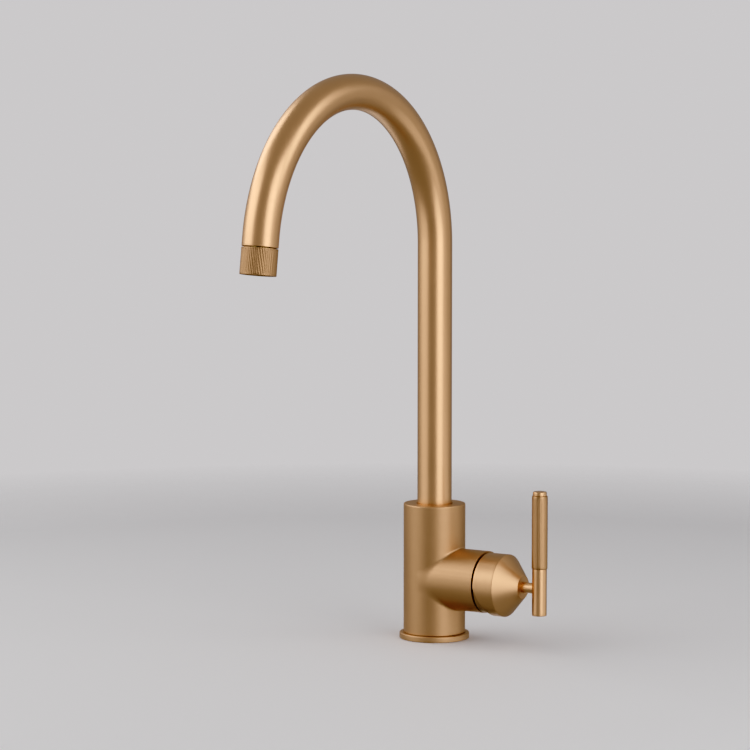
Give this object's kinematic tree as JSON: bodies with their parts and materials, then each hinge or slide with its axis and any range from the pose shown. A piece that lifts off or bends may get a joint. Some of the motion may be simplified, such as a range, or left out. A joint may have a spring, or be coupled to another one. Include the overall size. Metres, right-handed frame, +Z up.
{
  "type": "pull-down kitchen faucet",
  "caption": "Single-hole kitchen faucet: a swivelling round gooseneck with a short knurled pull-down spray head, and a side branch with a tilting conical cap and an upright knurled bar lever.",
  "frame": {"origin": "the body's vertical axis where it meets the top of the deck", "axes": "+Z up along the body's axis, -Y towards the user along the spout, +X along the lever branch"},
  "size_m": [0.123, 0.2663, 0.4773],
  "materials": {
    "brushed_brass": "satin brushed, fine straight grain",
    "knurled_brass": "satin brass with fine straight knurling",
    "raw_brass": "machined, unfinished",
    "steel": "plain stainless",
    "seal_rubber": "matt black",
    "ceramic": "lapped white alumina ceramic",
    "grey_plastic": "moulded",
    "black_plastic": "moulded",
    "white_plastic": "moulded acetal",
    "hose_braid": "braided nylon over a rubber tube"
  },
  "bodies": {
    "body": {"valve_body": "brushed_brass", "base_flange": "brushed_brass", "base_gasket": "seal_rubber", "mounting_shank": "raw_brass", "deck_washer_rubber": "seal_rubber", "deck_washer_steel": "steel", "mounting_nut": "raw_brass", "clamp_screw_1": "steel", "clamp_screw_2": "steel", "clamp_screw_3": "steel", "hot_nipple": "raw_brass", "cold_nipple": "raw_brass", "outlet_nipple": "raw_brass", "spout_retaining_screw": "steel", "hose_guide": "white_plastic", "cartridge_seal": "seal_rubber", "cartridge_base": "white_plastic", "ceramic_disc_fixed": "ceramic", "cartridge_housing": "grey_plastic", "cartridge_nut": "raw_brass", "cartridge_dome": "brushed_brass"},
    "spout": {"spout_tube": "brushed_brass", "spout_adapter": "raw_brass", "spout_o_ring_upper": "seal_rubber", "spout_o_ring_lower": "seal_rubber", "nozzle_dock": "black_plastic", "spray_hose": "hose_braid", "hose_coupling": "raw_brass"},
    "carrier": {"spindle_carrier": "black_plastic", "pivot_pin": "steel"},
    "disc": {"ceramic_disc_moving": "ceramic", "disc_driver": "black_plastic"},
    "lever": {"lever_spindle": "steel", "handle_cap": "brushed_brass", "cap_grub_screw": "steel", "handle_stem": "brushed_brass", "lever_bar": "brushed_brass", "lever_grip": "knurled_brass", "lever_end_cap": "brushed_brass"},
    "hose_end": {"hose_connector": "raw_brass", "dock_magnet": "steel", "connector_o_ring": "seal_rubber"},
    "spray_head": {"nozzle_shell": "knurled_brass", "aerator_washer": "seal_rubber", "aerator_housing": "black_plastic", "flow_straightener": "grey_plastic"}
  },
  "joints": [
    {"name": "spout_swivel", "type": "hinge", "parent": "body", "child": "spout", "pos_m": [0, 0, 0.079], "axis": [0, 0, 1], "range_deg": [-180, 180]},
    {"name": "lever_temperature", "type": "hinge", "parent": "body", "child": "carrier", "pos_m": [0.044, 0, 0.0435], "axis": [1, 0, 0], "range_deg": [-50, 50]},
    {"name": "lever_flow", "type": "hinge", "parent": "carrier", "child": "lever", "pos_m": [0.044, 0, 0.0435], "axis": [0, 1, 0], "range_deg": [0, 20]},
    {"name": "disc_slide", "type": "slide", "parent": "carrier", "child": "disc", "axis": [0, 0, 1], "range_m": [0, 0.0057]},
    {"name": "nozzle_pull", "type": "slide", "parent": "spout", "child": "hose_end", "axis": [0, -0.1409, -0.99], "range_m": [0, 0.25], "deforming": ["spray_hose"]},
    {"name": "nozzle_turn", "type": "hinge", "parent": "hose_end", "child": "spray_head", "pos_m": [0, -0.22234, 0.29744], "axis": [0, -0.1409, -0.99], "continuous": true}
  ],
  "couplings": [
    {"joint": "disc_slide", "follows": "lever_flow", "m_per_rad": 0.015481}
  ]
}
